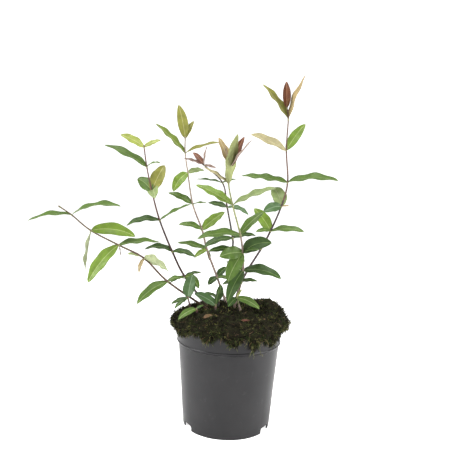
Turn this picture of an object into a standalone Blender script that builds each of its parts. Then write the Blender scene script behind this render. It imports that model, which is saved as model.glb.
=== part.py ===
# A young St John's wort shrub in a round plastic nursery pot: the pot, its peat, a mound of moss,
# six stems and their masses of foliage. Sizes are in millimetres, angles in degrees.
# +X runs to the right of the plant's front, +Y away from the front and +Z up. A heading or turn
# is measured in plan from +X towards +Y, and the origin is the middle of the pot's flat underside.
import bmesh
import bpy
from math import atan2, cos, exp, hypot, pi, radians, sin
from mathutils import Vector

mm = 0.001
clear = 0.3
weld = 0.01
up = Vector((0, 0, 1))

pot = dict(
    rim_radius=65.0, rim_height=126.0, lip_height=3.0, lip_depth=1.4, edge=0.6,
    band_top_radius=63.4, band_foot_radius=61.8, ledge_height=101.0, ledge_depth=1.6, step=2.5,
    foot_radius=52.0, wall=1.3, floor=2.0, drum_radius=43.0, channel_height=8.0, draft=0.8,
    sides=64,
)
notch = dict(turns=(-30, 90, 210), width=17.0, height=6.5, depth=9.0, corner=2.2)
peat = dict(top=118.0, clear=0.6, sides=48)
moss = dict(
    radius=70.0, wave=1.3, ripple=0.8, rise=14.5, shoulder=5.0, hump=10.0, hump_at=(48, 12),
    hump_spread=17.0, lump=0.9, lump_calm=0.25, lump_length=30.0, lump_twist=0.6, fade=12, brow=1.5,
    skirt=4.0, skirt_radius=67.3, rim_clear=0.1, over_rim=0.35, inner_radius=61.0, sides=60,
    rings=(14, 27, 38, 47, 54, 60, 65),
)
# Clumps of moss that hang over the rim: their turn, half their spread in degrees and their drop.
moss_clumps = (
    (-143, 11, 6), (-111, 9, 7), (-86, 10, 9), (-66, 6, 16), (-45, 14, 12),
    (5, 12, 4), (48, 14, 8), (95, 16, 5), (140, 12, 9), (182, 10, 4),
)

twig = dict(
    foot_radius=1.45, tip_radius=0.75, foot_clear=0.7, foot_cut=4.0, joint_below=5.0, beyond=1.5,
    steps=2,
)
leaf = dict(
    width_ratio=0.3, fold=14, petiole=0.55, half_thickness=0.45, widest=0.85, bluntness=0.65,
)
leaf_stations = (0.0, 0.06, 0.2, 0.4, 0.62, 0.82, 0.94)

# A stem is its foot in plan and, from node to node, the internode as (length, lean, heading)
# with the leaves at its upper end, each as (turn, rise, bend, length, face, width): bend is how
# far the blade arches over from root to tip, face how far its upper side is turned to the front,
# and the width is given only where it isn't the usual share of the length.
far_left_stem = dict(
    foot=(-28, -8),
    growth=(
        ((56, 56, -173), ((205, -14, 40, 45, 20), (30, 36, 60, 23, 15))),
        ((39, 46, -172), ((-35, -1, 30, 40, -70, 17), (150, 21, 30, 25, -40),
                          (-150, -51, 40, 18, 20))),
        ((33, 63, -172), ((-155, -36, 30, 55, 40), (25, 15, 25, 51, 8), (70, -60, 20, 17, 60))),
        ((35, 63, -173), ((15, 15, 45, 52, 60), (115, -49, 20, 60, 65))),
        ((28, 51, -169), ((-12, 34, 45, 62, 5), (190, 8, 35, 49, 5))),
        ((16, 56, -172), ()),
    ),
)
left_stem = dict(
    foot=(-28, 4),
    growth=(
        ((44, 40, 172), ((20, 27, 30, 22, 10), (-35, 12, 80, 27, 40, 10), (200, -3, 40, 20, 15))),
        ((34, 31, 160), ((-15, 13, 45, 31, 25), (165, 30, 60, 38, 10))),
        ((41, 26, 160), ((-15, 36, 15, 45, 10), (195, 15, 50, 42, 20))),
        ((37, 20, 152), ((50, 68, 20, 39, 20, 17), (150, 53, 40, 28, 50, 14),
                         (-75, 25, 80, 32, 20, 15))),
        ((31, 16, 152), ((-10, 50, 70, 20, 10), (172, 35, 20, 61, 8))),
        ((25, 14, 138), ((25, 35, 20, 24, 20), (205, 34, 20, 33, 35))),
    ),
)
centre_left_stem = dict(
    foot=(-5, 24),
    growth=(
        ((33, 26, 146), ((30, 54, 20, 18, 40, 9), (200, -20, 40, 15, 40, 9), (-20, 16, 40, 18, 30))),
        ((37, 28, 144), ((165, 22, 25, 41, 12), (-140, -4, 40, 22, 40), (-35, -52, 40, 14, 30))),
        ((27, 24, 133), ((20, 45, 15, 38, 50, 14), (195, 36, 50, 32, 35))),
        ((36, 28, 143), ((165, 34, 25, 37, 25), (-25, 20, 25, 20, 8))),
        ((42, 18, 129), ((45, 24, 30, 30, 45), (-135, -21, 50, 35, 40, 14))),
        ((27, 16, 129), ((-5, 28, 20, 50, 10), (185, 48, 10, 54, 15))),
        ((20, 12, 102), ((20, 72, 15, 26, 50), (160, 81, 10, 45, 70, 14))),
    ),
)
centre_stem = dict(
    foot=(0, 11),
    growth=(
        ((68, 6, 82), ((190, 6, 25, 30, 35), (-10, -25, 40, 22, 30))),
        ((13, 9, 103), ((205, 6, 45, 41, 20), (25, 25, 40, 33, 15))),
        ((39, 15, 143), ((155, 19, 20, 27, 35), (-30, 10, 50, 32, 15))),
        ((31, 17, 139), ((195, 13, 15, 34, 4), (15, 30, 30, 18, 10))),
        ((32, 49, 170), ((-40, 87, 15, 25, 10), (-10, -2, 20, 16, 25), (140, 49, 20, 25, 30),
                         (170, 24, 15, 27, 10))),
    ),
)
front_stem = dict(
    foot=(5, -4),
    growth=(
        ((35, 18, -49), ((-160, 13, 40, 24, 30), (10, 20, 40, 20, 30))),
        ((14, 14, -62), ((-15, 17, 50, 47, 40, 15), (-130, -34, 35, 44, 20, 14),
                         (165, 38, 30, 23, 40))),
        ((22, 14, -106), ((-5, 51, 60, 37, 60, 17), (-145, -46, 25, 38, 50, 17),
                          (-35, 35, 40, 23, 30), (205, 8, 30, 30, 70, 15))),
        ((23, 16, -128), ((200, 9, 30, 52, 15), (25, 51, 20, 39, 25))),
        ((36, 22, -138), ((165, 33, 15, 49, 20), (-15, 31, 15, 53, 12))),
        ((25, 19, -130), ((-60, 79, 10, 56, 0, 15), (200, 37, 15, 34, 20))),
        ((18, 8, -52), ((150, 68, 10, 37, 10), (-150, 74, 10, 26, 20), (25, 71, 10, 38, 30, 9),
                        (-25, 56, 10, 39, 8))),
    ),
)
right_stem = dict(
    foot=(5, 13),
    growth=(
        ((29, 18, 18), ()),
        ((22, 27, 11), ()),
        ((25, 32, 17), ((20, 40, 30, 9, 20), (190, 30, 40, 12, 20))),
        ((25, 28, 20), ((-15, 17, 30, 42, 15), (160, 60, 20, 35, 60, 15), (-150, 15, 35, 22, 40))),
        ((33, 23, 18), ((-155, 2, 35, 26, 60, 13), (120, 75, 50, 31, 10, 19), (-30, 16, 20, 11, 20))),
        ((31, 15, 30), ((-15, 21, 35, 63, 14), (165, 11, 10, 60, 12))),
        ((40, 7, 126), ((25, 60, 15, 43, 60), (205, 25, 15, 53, 20))),
        ((39, 6, 75), ((-15, 75, 10, 57, 20), (165, 59, 15, 55, 10))),
        ((14, 10, 156), ((100, 83, 10, 34, 5), (-80, 70, 30, 14, 10))),
    ),
)
# The short shoots at the plant's foot.
left_basal_shoot = dict(
    foot=(-45, -17),
    growth=(
        ((17, 16, 180), ((60, 82, 20, 28, 0, 15), (190, -6, 30, 21, 20), (-145, -17, 30, 21, 10))),
    ),
)
soil_leaf_shoot = dict(
    foot=(-38, -24),
    growth=(
        ((5, 20, 220), ((-140, 0, 40, 27, 40), (40, 30, 30, 12, 20))),
    ),
)
centre_basal_shoot = dict(
    foot=(-17, -16),
    growth=(
        ((5, 10, 90), ((180, 42, 30, 29, 50, 12), (60, 78, 20, 19, 30))),
    ),
)
dark_basal_shoot = dict(
    foot=(-14, 2),
    growth=(
        ((7, 10, 60), ((80, 70, 20, 20, 0, 9), (190, 50, 40, 20, 20))),
    ),
)
right_basal_shoot = dict(
    foot=(12, -17),
    growth=(
        ((15, 18, 170), ((-25, 2, 40, 31, 40, 10), (-150, -25, 30, 15, 40, 8), (10, 66, 10, 12, 20))),
    ),
)

# Where each stem is parted: its bough, then its masses of foliage with the first node of each.
limbs = (
    (far_left_stem, "far_left_bough", (("far_left_lower_foliage", 0), ("far_left_upper_foliage", 3))),
    (left_stem, "left_bough", (("left_lower_foliage", 0), ("left_upper_foliage", 3))),
    (centre_left_stem, "centre_left_bough",
     (("centre_left_lower_foliage", 0), ("centre_left_upper_foliage", 4))),
    (centre_stem, "centre_bough", (("centre_foliage", 0),)),
    (front_stem, "front_bough", (("front_lower_foliage", 0), ("front_upper_foliage", 4))),
    (right_stem, "right_bough", (("right_lower_foliage", 2), ("right_upper_foliage", 5))),
    (left_basal_shoot, None, (("left_basal_foliage", 0),)),
    (soil_leaf_shoot, None, (("soil_foliage", 0),)),
    (centre_basal_shoot, None, (("centre_basal_foliage", 0),)),
    (dark_basal_shoot, None, (("dark_basal_foliage", 0),)),
    (right_basal_shoot, None, (("right_basal_foliage", 0),)),
)


def clear_scene():
    for obj in list(bpy.data.objects):
        bpy.data.objects.remove(obj, do_unlink=True)
    for mesh in list(bpy.data.meshes):
        bpy.data.meshes.remove(mesh)


def new_collection(name):
    group = bpy.data.collections.new(name)
    bpy.context.scene.collection.children.link(group)
    return group


def plain_material(name, colour, roughness):
    material = bpy.data.materials.new(name)
    material.use_nodes = True
    shader = material.node_tree.nodes["Principled BSDF"]
    shader.inputs["Base Color"].default_value = (*colour, 1)
    shader.inputs["Roughness"].default_value = roughness
    return material


def add_object(name, data, group, material=None, place=Vector()):
    """An object at a place in millimetres."""
    obj = bpy.data.objects.new(name, data)
    obj.location = place * mm
    group.objects.link(obj)
    if material:
        data.materials.append(material)
    return obj


def evaluated_mesh(obj):
    bpy.context.view_layer.update()
    view = bpy.context.evaluated_depsgraph_get()
    return bpy.data.meshes.new_from_object(obj.evaluated_get(view))


def turned(name, profile, sides, group, material):
    """Turns a profile of (radius, height) round the Z axis. Its outer side runs downwards."""
    mesh = bpy.data.meshes.new(name)
    points = [(radius * mm, 0, height * mm) for radius, height in profile]
    mesh.from_pydata(points, [(index, index + 1) for index in range(len(points) - 1)], [])
    obj = add_object(name, mesh, group, material)
    screw = obj.modifiers.new("turn", "SCREW")
    screw.steps = sides
    screw.render_steps = sides
    screw.use_merge_vertices = True
    screw.merge_threshold = weld * mm
    screw.use_smooth_shade = True
    return obj


def body_top_radius():
    return pot["band_foot_radius"] - pot["ledge_depth"]


def inner_radius(height):
    """The radius of the pot's inside at a height above its floor."""
    body = pot["ledge_height"] - pot["ledge_depth"]
    if height <= body:
        outside = pot["foot_radius"] + (body_top_radius() - pot["foot_radius"]) * height / body
    else:
        share = max(0.0, (height - pot["ledge_height"]) / (pot["rim_height"] - pot["ledge_height"]))
        outside = pot["band_foot_radius"] + (pot["band_top_radius"] - pot["band_foot_radius"]) * share
    return outside - pot["wall"]


def make_pot(group, cutters, material):
    """A thin tapering wall with a plain band and a lip, on a drum-shaped floor inside a skirt."""
    channel = pot["channel_height"]
    floor = pot["floor"]
    drum = pot["drum_radius"]
    rim = pot["rim_height"]
    ledge = pot["ledge_height"]
    skirt = pot["foot_radius"] - pot["wall"]
    lip_foot = rim - pot["lip_height"]
    edge = pot["edge"]
    profile = [
        (0, floor), (drum - floor - pot["draft"], floor), (drum - floor, channel + floor),
        (inner_radius(channel + floor), channel + floor),
        (inner_radius(ledge - pot["step"]), ledge - pot["step"]), (inner_radius(ledge), ledge),
        (inner_radius(rim), rim), (pot["rim_radius"] - edge, rim), (pot["rim_radius"], rim - edge),
        (pot["rim_radius"], lip_foot + pot["lip_depth"]), (pot["band_top_radius"], lip_foot),
        (pot["band_foot_radius"], ledge), (body_top_radius(), ledge - pot["ledge_depth"]),
        (pot["foot_radius"], 0), (skirt, 0), (skirt, channel), (drum + pot["draft"], channel),
        (drum, 0), (0, 0),
    ]
    body = turned("nursery_pot", profile, pot["sides"], group, material)
    for number, turn in enumerate(notch["turns"]):
        cutter = make_notch("drain_notch_cutter_%d" % (number + 1), turn, cutters)
        cut = body.modifiers.new("drain_notch_%d" % (number + 1), "BOOLEAN")
        cut.operation = "DIFFERENCE"
        cut.solver = "EXACT"
        cut.object = cutter


def make_notch(name, turn, cutters):
    """A rounded block that parts the skirt round the pot's foot."""
    mesh = bpy.data.meshes.new(name)
    block = bmesh.new()
    bmesh.ops.create_cube(block, size=1)
    size = Vector((notch["depth"], notch["width"], notch["height"] * 2)) * mm
    bmesh.ops.scale(block, vec=size, verts=block.verts)
    block.to_mesh(mesh)
    block.free()
    ahead = Vector((cos(radians(turn)), sin(radians(turn)), 0))
    cutter = add_object(name, mesh, cutters, place=ahead * (pot["foot_radius"] + pot["draft"]))
    cutter.rotation_euler.z = radians(turn)
    rounding = cutter.modifiers.new("round", "BEVEL")
    rounding.width = notch["corner"] * mm
    rounding.segments = 2
    cutter.hide_render = True
    cutter.display_type = "WIRE"
    return cutter


def make_peat(group, material):
    """What fills the pot, a little clear of its wall and its floor."""
    floor = pot["floor"] + clear
    drum = pot["drum_radius"] - pot["floor"] - clear - pot["draft"]
    channel = pot["channel_height"] + floor
    ledge = pot["ledge_height"]
    top = peat["top"]
    reach = peat["clear"]
    profile = [
        (0, top), (inner_radius(top) - reach, top),
        (inner_radius(ledge) - reach, ledge + pot["step"] / 2),
        (inner_radius(ledge - pot["step"]) - reach, ledge - pot["step"]),
        (inner_radius(channel) - reach, channel), (drum, channel), (drum - pot["draft"], floor),
        (0, floor),
    ]
    turned("peat", profile, peat["sides"], group, material)


def moss_edge(turn):
    """The mound's outer radius at a turn in radians."""
    return moss["radius"] + moss["wave"] * sin(5 * turn + 1) + moss["ripple"] * sin(11 * turn)


def moss_height(radius, turn):
    """The mound's surface: a flat crown with a hump on its right."""
    share = min(1.0, radius / moss_edge(turn))
    crown = moss["rise"] * (1 - share ** (moss["shoulder"] + cos(turn)))
    off = (Vector((radius * cos(turn), radius * sin(turn))) - Vector(moss["hump_at"])).length
    hump = moss["hump"] * exp(-(off / moss["hump_spread"]) ** 2 / 2)
    wave = 2 * pi * radius / moss["lump_length"]
    lump = moss["lump"] * (moss["lump_calm"] + share * share)
    lump *= sin(4 * turn + wave * moss["lump_twist"]) * cos(wave)
    return pot["rim_height"] + crown + (hump + lump) * (1 - share ** moss["fade"])


def moss_drop(turn):
    """How far the mound hangs below the rim at a turn in radians."""
    drop = moss["skirt"]
    for middle, spread, depth in moss_clumps:
        away = (turn * 180 / pi - middle + 180) % 360 - 180
        drop += depth * max(0.0, 1 - (away / spread) ** 2)
    return drop


def make_moss(group, material):
    """A turned cap over the rim, whose points are then moved to the mound's uneven surface."""
    rim = pot["rim_height"]
    over = rim + moss["over_rim"]
    below = peat["top"] + clear
    inside = pot["rim_radius"] + clear + moss["rim_clear"]
    edge = moss["radius"]
    profile = [(0, rim + moss["rise"])] + [(radius, rim + moss["rise"]) for radius in moss["rings"]]
    profile += [
        (edge, rim), (moss["skirt_radius"], rim - moss["skirt"]), (inside, rim - moss["skirt"]),
        (inside, over), (moss["inner_radius"], over), (moss["inner_radius"], below), (0, below),
    ]
    plain = turned("moss_plain", profile, moss["sides"], group, material)
    mesh = evaluated_mesh(plain)
    for vertex in mesh.vertices:
        place = vertex.co / mm
        radius = place.xy.length
        turn = atan2(place.y, place.x)
        if place.z > rim + moss["rise"] - clear:
            place.z = moss_height(radius, turn)
        elif radius > edge - clear:
            place.xy *= moss_edge(turn) / edge
            place.z = rim + moss["brow"]
        elif radius > inside - clear and place.z < rim:
            place.z = rim - moss_drop(turn)
        vertex.co = place * mm
    bpy.data.objects.remove(plain, do_unlink=True)
    mesh.materials.clear()
    add_object("moss_mound", mesh, group, material)


def stem_nodes(stem):
    """The foot of a stem, just above the mound, and then its nodes."""
    x, y = stem["foot"]
    nodes = [Vector((x, y, moss_height(hypot(x, y), atan2(y, x)) + twig["foot_clear"]))]
    for (length, lean, heading), leaves in stem["growth"]:
        flat = sin(radians(lean))
        step = Vector((flat * cos(radians(heading)), flat * sin(radians(heading)), cos(radians(lean))))
        nodes.append(nodes[-1] + step * length)
    return nodes


def curve_point(before, start, end, after, share):
    """A point between start and end on the smooth curve that passes through all four."""
    linear = (end - before) * share
    square = (before * 2 - start * 5 + end * 4 - after) * share ** 2
    cube = (start * 3 - before - end * 3 + after) * share ** 3
    return start + (linear + square + cube) / 2


def stem_line(nodes):
    """The stem's middle line as (distance from the foot, point), curved from node to node."""
    tip_step = (nodes[-1] - nodes[-2]).normalized() * twig["beyond"]
    chain = [nodes[0] * 2 - nodes[1]] + nodes + [nodes[-1] + tip_step, nodes[-1] + tip_step * 2]
    line = [(0.0, nodes[0])]
    for index in range(1, len(chain) - 2):
        for step in range(1, twig["steps"] + 1):
            point = curve_point(*chain[index - 1:index + 3], step / twig["steps"])
            line.append((line[-1][0] + (point - line[-1][1]).length, point))
    return line


def part_line(line, start, end):
    """The stretch of a line between two distances from the foot."""
    stretch = []
    for (low, first), (high, second) in zip(line, line[1:]):
        if low <= start < high:
            stretch.append((start, first.lerp(second, (start - low) / (high - low))))
        if start < high < end:
            stretch.append((high, second))
        if low < end <= high:
            stretch.append((end, first.lerp(second, (end - low) / (high - low))))
    return stretch


def make_limb(name, stretch, total, group, material):
    """A tapering limb: a bevelled curve made a closed mesh. One from the foot is cut level there."""
    at_foot = stretch[0][0] == 0.0
    base = stretch[0][1]
    if at_foot:
        sunk = base - (stretch[1][1] - base).normalized() * twig["foot_cut"]
        stretch = [(0.0, sunk)] + stretch[1:]
    curve = bpy.data.curves.new(name, "CURVE")
    curve.dimensions = "3D"
    curve.bevel_depth = twig["foot_radius"] * mm
    curve.bevel_resolution = 1
    curve.use_fill_caps = True
    spline = curve.splines.new("POLY")
    spline.points.add(len(stretch) - 1)
    for point, (distance, middle) in zip(spline.points, stretch):
        point.co = (*((middle - base) * mm), 1)
        point.radius = 1 + (twig["tip_radius"] / twig["foot_radius"] - 1) * distance / total
    rod = add_object(name, curve, group)
    mesh = evaluated_mesh(rod)
    bpy.data.objects.remove(rod, do_unlink=True)
    shell = bmesh.new()
    shell.from_mesh(mesh)
    bmesh.ops.remove_doubles(shell, verts=shell.verts, dist=weld * mm)
    if at_foot:
        cut = bmesh.ops.bisect_plane(shell, geom=shell.verts[:] + shell.edges[:] + shell.faces[:],
                                     plane_co=(0, 0, 0), plane_no=(0, 0, 1), clear_inner=True)
        edges = [item for item in cut["geom_cut"] if isinstance(item, bmesh.types.BMEdge)]
        bmesh.ops.contextual_create(shell, geom=edges)
    bmesh.ops.recalc_face_normals(shell, faces=shell.faces)
    shell.to_mesh(mesh)
    shell.free()
    return add_object(name, mesh, group, material, base)


def leaf_half_width(share, width):
    """Half the width of an oval, blunt-tipped blade at a share of its length."""
    oval = sin(pi * share ** leaf["widest"]) ** leaf["bluntness"]
    return max(leaf["petiole"], width / 2 * oval)


def make_leaf(name, group, root, turn, rise, bend, length, face, width=None):
    """A blade folded along its midrib, lofted from a root inside the stem to a pointed tip."""
    heading = Vector((cos(radians(turn)), sin(radians(turn)), 0))
    front = Vector((heading.y, -heading.x, 0))
    if front.y > 0:
        front = -front
    width = width or length * leaf["width_ratio"]
    points = []
    middle = Vector()
    last = 0.0
    for share in leaf_stations:
        angle = radians(rise - bend * (share + last) / 2)
        middle = middle + (heading * cos(angle) + up * sin(angle)) * length * (share - last)
        last = share
        angle = radians(rise - bend * share)
        ahead = heading * cos(angle) + up * sin(angle)
        above = (up * cos(angle) - heading * sin(angle)) * cos(radians(face))
        above += front * sin(radians(face))
        half = leaf_half_width(share, width)
        aside = ahead.cross(above) * half
        lift = above * (half - leaf["petiole"]) * sin(radians(leaf["fold"]))
        thick = above * leaf["half_thickness"]
        points += [middle + aside + lift, middle + thick, middle - aside + lift, middle - thick]
    angle = radians(rise - bend)
    points.append(middle + (heading * cos(angle) + up * sin(angle)) * length * (1 - last))
    tip = len(points) - 1
    faces = [(0, 1, 2, 3)]
    for low in range(0, tip - 4, 4):
        for side in range(4):
            after = (side + 1) % 4
            faces.append((low + side, low + after, low + 4 + after, low + 4 + side))
    faces += [(tip - 4 + side, tip - 4 + (side + 1) % 4, tip) for side in range(4)]
    mesh = bpy.data.meshes.new(name)
    mesh.from_pydata([point * mm for point in points], [], faces)
    shell = bmesh.new()
    shell.from_mesh(mesh)
    bmesh.ops.recalc_face_normals(shell, faces=shell.faces)
    shell.to_mesh(mesh)
    shell.free()
    add_object(name, mesh, group, place=root)


def keep_outer_shell(mesh):
    """Fills any hollow that the union sealed, by dropping all but the largest joined surface."""
    shell = bmesh.new()
    shell.from_mesh(mesh)
    waiting = set(shell.verts)
    islands = []
    while waiting:
        island = set()
        edge = [waiting.pop()]
        while edge:
            vertex = edge.pop()
            island.add(vertex)
            beside = [link.other_vert(vertex) for link in vertex.link_edges]
            fresh = [other for other in beside if other in waiting]
            waiting.difference_update(fresh)
            edge += fresh
        islands.append(island)
    islands.sort(key=len)
    for island in islands[:-1]:
        bmesh.ops.delete(shell, geom=list(island), context="VERTS")
    shell.to_mesh(mesh)
    shell.free()


def fuse(body, group):
    """Joins every object of a collection to the body and removes the collection."""
    join = body.modifiers.new("fuse", "BOOLEAN")
    join.operation = "UNION"
    join.solver = "MANIFOLD"
    join.operand_type = "COLLECTION"
    join.collection = group
    fused = evaluated_mesh(body)
    keep_outer_shell(fused)
    body.modifiers.remove(join)
    body.data = fused
    for obj in list(group.objects):
        bpy.data.objects.remove(obj, do_unlink=True)
    bpy.data.collections.remove(group)


def make_mass(name, stem, nodes, stretch, total, first, last, group, material):
    """A stretch of stem with the leaves of its nodes fused on."""
    body = make_limb(name, stretch, total, group, material)
    blades = new_collection(name + "_blades")
    for index in range(first, last):
        for number, blade in enumerate(stem["growth"][index][1]):
            make_leaf("%s_leaf_%d_%d" % (name, index, number), blades, nodes[index + 1], *blade)
    fuse(body, blades)


def make_stem(stem, bough, masses, group, stem_material, leaf_material):
    """A stem's bough, if it has one, and its masses, each clear of the one before it."""
    nodes = stem_nodes(stem)
    line = stem_line(nodes)
    total = line[-1][0]
    starts = [line[(first + 1) * twig["steps"]][0] - twig["joint_below"] for name, first in masses]
    if bough:
        make_limb(bough, part_line(line, 0.0, starts[0]), total, group, stem_material)
    else:
        starts[0] = -clear
    ends = starts[1:] + [total]
    lasts = [first for name, first in masses[1:]] + [len(stem["growth"])]
    for (name, first), start, end, last in zip(masses, starts, ends, lasts):
        stretch = part_line(line, start + clear, end)
        make_mass(name, stem, nodes, stretch, total, first, last, group, leaf_material)


def main():
    clear_scene()
    plant = new_collection("potted_hypericum")
    cutters = new_collection("cutters")
    plastic = plain_material("charcoal_plastic", (0.07, 0.068, 0.075), 0.42)
    bark = plain_material("stem_bark", (0.2, 0.1, 0.07), 0.7)
    green = plain_material("leaf_green", (0.12, 0.24, 0.06), 0.5)
    earth = plain_material("peat", (0.02, 0.014, 0.01), 0.95)
    mossy = plain_material("moss", (0.045, 0.05, 0.02), 0.95)
    make_pot(plant, cutters, plastic)
    make_peat(plant, earth)
    make_moss(plant, mossy)
    for stem, bough, masses in limbs:
        make_stem(stem, bough, masses, plant, bark, green)


main()
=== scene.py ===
import bmesh
import bpy
import random
from math import atan2, cos, exp, hypot, pi, radians, sin
from mathutils import Matrix, Vector, noise


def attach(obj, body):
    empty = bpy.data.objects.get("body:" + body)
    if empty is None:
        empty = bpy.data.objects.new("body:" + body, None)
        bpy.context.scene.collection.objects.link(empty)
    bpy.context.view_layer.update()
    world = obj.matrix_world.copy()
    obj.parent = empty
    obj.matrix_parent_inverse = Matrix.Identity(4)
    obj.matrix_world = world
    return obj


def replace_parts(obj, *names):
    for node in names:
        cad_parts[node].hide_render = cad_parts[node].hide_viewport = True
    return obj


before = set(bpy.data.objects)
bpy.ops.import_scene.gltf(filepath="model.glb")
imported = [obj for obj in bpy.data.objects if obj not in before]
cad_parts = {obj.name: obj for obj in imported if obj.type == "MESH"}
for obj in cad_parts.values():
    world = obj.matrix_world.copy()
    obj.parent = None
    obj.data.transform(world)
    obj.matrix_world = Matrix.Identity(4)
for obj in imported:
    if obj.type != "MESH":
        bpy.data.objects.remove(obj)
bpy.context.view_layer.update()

mm = 0.001
up = Vector((0, 0, 1))


# Camera and studio
cameraSet = dict(place=(-9.4, -650, 294), down=4.8, roll=2.03, lens=44.0, sensor=36.0, farClip=100)
studio = dict(
    floorSize=9000, backdrop=3200, curve=900, curveSteps=8, paper=(0.93, 0.93, 0.925), roughness=0.9,
    glow=0.85, shine=0.45, worldStrength=0.27, aim=(0, 0, 180),
)
# Each panel of light: its power, place and size
panels = dict(
    overheadPanel=(12, (-150, -200, 1300), (900, 900)),
    leftPanel=(13, (-1000, -350, 450), (500, 1000)),
    rightPanel=(15, (1000, -300, 450), (500, 1000)),
    frontPanel=(2.0, (-250, -1300, 700), (700, 700)),
)


def makeCamera():
    data = bpy.data.cameras.new("photoCamera")
    data.lens = cameraSet["lens"]
    data.sensor_width = cameraSet["sensor"]
    data.clip_end = cameraSet["farClip"]
    camera = bpy.data.objects.new("photoCamera", data)
    bpy.context.collection.objects.link(camera)
    turn = Matrix.Rotation(radians(90 - cameraSet["down"]), 4, "X")
    turn = turn @ Matrix.Rotation(radians(cameraSet["roll"]), 4, "Z")
    camera.matrix_world = Matrix.Translation(Vector(cameraSet["place"]) * mm) @ turn
    bpy.context.scene.camera = camera


def addPanel(name, power, place, size):
    data = bpy.data.lights.new(name, "AREA")
    data.energy = power
    data.shape = "RECTANGLE"
    data.size = size[0] * mm
    data.size_y = size[1] * mm
    light = bpy.data.objects.new(name, data)
    light.location = Vector(place) * mm
    aim = (Vector(studio["aim"]) - Vector(place)).to_track_quat("-Z", "Y")
    light.rotation_euler = aim.to_euler()
    bpy.context.collection.objects.link(light)


def addMath(tree, operation, first, second):
    # The second value is a number or the output of another node
    node = tree.nodes.new("ShaderNodeMath")
    node.operation = operation
    tree.links.new(first, node.inputs[0])
    if isinstance(second, float):
        node.inputs[1].default_value = second
    else:
        tree.links.new(second, node.inputs[1])
    return node.outputs[0]


def makePaper():
    # The paper glows for the camera, and less for glossy rays, so it stays white under soft light
    paper = bpy.data.materials.new("backdropPaper")
    paper.use_nodes = True
    tree = paper.node_tree
    shader = tree.nodes["Principled BSDF"]
    shader.inputs["Base Color"].default_value = (*studio["paper"], 1)
    shader.inputs["Roughness"].default_value = studio["roughness"]
    shader.inputs["Emission Color"].default_value = (1, 1, 1, 1)
    ray = tree.nodes.new("ShaderNodeLightPath")
    shine = addMath(tree, "MULTIPLY", ray.outputs["Is Glossy Ray"], studio["shine"])
    seen = addMath(tree, "ADD", ray.outputs["Is Camera Ray"], shine)
    glow = addMath(tree, "MULTIPLY", seen, studio["glow"])
    tree.links.new(glow, shader.inputs["Emission Strength"])
    return paper


def makeBackdrop():
    # A floor that curves up behind the plant
    half = studio["floorSize"] / 2
    depth = studio["backdrop"]
    curve = studio["curve"]
    steps = studio["curveSteps"]
    profile = [(-half, 0.0), (depth - curve, 0.0)]
    for step in range(1, steps + 1):
        angle = step / steps * pi / 2
        profile.append((depth - curve + curve * sin(angle), curve * (1 - cos(angle))))
    profile.append((depth, half))
    points = [(side * half * mm, y * mm, z * mm) for y, z in profile for side in (-1, 1)]
    faces = [(i, i + 1, i + 3, i + 2) for i in range(0, len(points) - 2, 2)]
    mesh = bpy.data.meshes.new("paleBackdrop")
    mesh.from_pydata(points, [], faces)
    mesh.shade_smooth()
    mesh.materials.append(makePaper())
    floor = bpy.data.objects.new("paleBackdrop", mesh)
    bpy.context.collection.objects.link(floor)


def makeWorld():
    # White for the camera, dimmer where it lights the plant
    world = bpy.data.worlds.new("studioWorld")
    world.use_nodes = True
    tree = world.node_tree
    sky = tree.nodes["Background"]
    sky.inputs["Color"].default_value = (1, 1, 1, 1)
    ray = tree.nodes.new("ShaderNodeLightPath")
    power = tree.nodes.new("ShaderNodeMapRange")
    power.inputs["To Min"].default_value = studio["worldStrength"]
    power.inputs["To Max"].default_value = 1.0
    tree.links.new(ray.outputs["Is Camera Ray"], power.inputs["Value"])
    tree.links.new(power.outputs["Result"], sky.inputs["Strength"])
    bpy.context.scene.world = world


def makeStudio():
    makeBackdrop()
    makeWorld()
    for name, panel in panels.items():
        addPanel(name, *panel)
    bpy.context.scene.view_settings.view_transform = "Standard"
    print("camera and studio ready")


# Shader groups and materials
def newGroup(name, inputs, outputs):
    group = bpy.data.node_groups.new(name, "ShaderNodeTree")
    for label, kind, value in inputs:
        socket = group.interface.new_socket(name=label, in_out="INPUT", socket_type=kind)
        socket.default_value = value
    for label, kind in outputs:
        group.interface.new_socket(name=label, in_out="OUTPUT", socket_type=kind)
    return group, group.nodes.new("NodeGroupInput"), group.nodes.new("NodeGroupOutput")


mottle = dict(patchDetail=4, grainDetail=3, roughness=0.6)


def addNoise(tree, scale, detail):
    # Noise that lies still on the plant: it reads the object's own coordinates
    where = tree.nodes.new("ShaderNodeTexCoord")
    node = tree.nodes.new("ShaderNodeTexNoise")
    node.inputs["Detail"].default_value = detail
    node.inputs["Roughness"].default_value = mottle["roughness"]
    tree.links.new(where.outputs["Object"], node.inputs["Vector"])
    tree.links.new(scale, node.inputs["Scale"])
    return node


def addBlend(tree, mask, under):
    # A colour mix: input 6 is the colour under the mask, input 7 the one on it, output 2 the result
    node = tree.nodes.new("ShaderNodeMix")
    node.data_type = "RGBA"
    tree.links.new(mask, node.inputs["Factor"])
    tree.links.new(under, node.inputs[6])
    return node


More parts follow.
